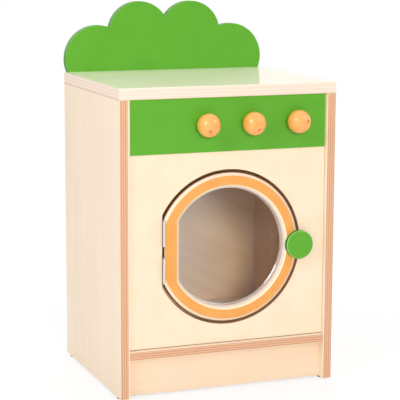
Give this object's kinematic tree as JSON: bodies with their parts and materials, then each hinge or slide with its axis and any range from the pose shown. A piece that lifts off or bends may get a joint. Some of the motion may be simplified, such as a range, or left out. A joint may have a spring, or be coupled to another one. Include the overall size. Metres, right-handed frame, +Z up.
{
  "type": "toy washing machine",
  "caption": "Child-size play washing machine: board cabinet with a hinged round window door, turning ball knobs and a cloud-shaped upstand.",
  "frame": {"origin": "on the floor, under the middle of the whole object's bounding box", "axes": "+Z up, the door and knobs face -Y, +X to the right as seen from the front"},
  "size_m": [0.44, 0.423, 0.7375],
  "materials": {
    "maple_board": "clear satin lacquer",
    "cream_board": "clear satin lacquer",
    "birch_ply": "unfinished",
    "birch_dowel": "unfinished",
    "green_paint": "satin green paint",
    "orange_paint": "satin orange paint with bare bevels",
    "orange_gloss": "gloss orange lacquer",
    "clear_pane": "clear polished sheet",
    "zinc_steel": "bright zinc plate",
    "black_plastic": "matte black"
  },
  "bodies": {
    "cabinet": {"left_side_panel": "maple_board", "right_side_panel": "maple_board", "top_panel": "maple_board", "bottom_shelf": "maple_board", "plinth_board": "maple_board", "back_panel": "birch_ply", "rear_rail": "maple_board", "control_panel": "green_paint", "front_panel": "cream_board", "cloud_backboard": "green_paint", "carcass_dowels": "birch_dowel", "cloud_screws": "zinc_steel", "floor_glides": "black_plastic", "upper_hinge_frame_leaf": "zinc_steel", "upper_hinge_pin": "zinc_steel", "lower_hinge_frame_leaf": "zinc_steel", "lower_hinge_pin": "zinc_steel", "hinge_frame_screws": "zinc_steel", "magnetic_catch": "black_plastic", "catch_screws": "zinc_steel"},
    "door": {"door_ring": "orange_paint", "door_window": "clear_pane", "window_screws": "zinc_steel", "door_handle": "green_paint", "handle_screws": "zinc_steel", "strike_plate": "zinc_steel", "strike_screw": "zinc_steel", "upper_hinge_door_leaf": "zinc_steel", "lower_hinge_door_leaf": "zinc_steel", "hinge_door_screws": "zinc_steel"},
    "left_knob": {"left_knob": "orange_gloss", "left_knob_axle": "birch_dowel", "left_knob_washer": "birch_dowel", "left_knob_screw": "zinc_steel"},
    "middle_knob": {"middle_knob": "orange_gloss", "middle_knob_axle": "birch_dowel", "middle_knob_washer": "birch_dowel", "middle_knob_screw": "zinc_steel"},
    "right_knob": {"right_knob": "orange_gloss", "right_knob_axle": "birch_dowel", "right_knob_washer": "birch_dowel", "right_knob_screw": "zinc_steel"}
  },
  "joints": [
    {"name": "door_hinge", "type": "hinge", "parent": "cabinet", "child": "door", "pos_m": [-0.1325, -0.17, 0.28325], "axis": [0, 0, -1], "range_deg": [0, 170]},
    {"name": "left_knob_turn", "type": "hinge", "parent": "cabinet", "child": "left_knob", "pos_m": [-0.0506, -0.16, 0.5227], "axis": [0, 1, 0], "continuous": true},
    {"name": "middle_knob_turn", "type": "hinge", "parent": "cabinet", "child": "middle_knob", "pos_m": [0.0417, -0.16, 0.5227], "axis": [0, 1, 0], "continuous": true},
    {"name": "right_knob_turn", "type": "hinge", "parent": "cabinet", "child": "right_knob", "pos_m": [0.134, -0.16, 0.5227], "axis": [0, 1, 0], "continuous": true}
  ]
}
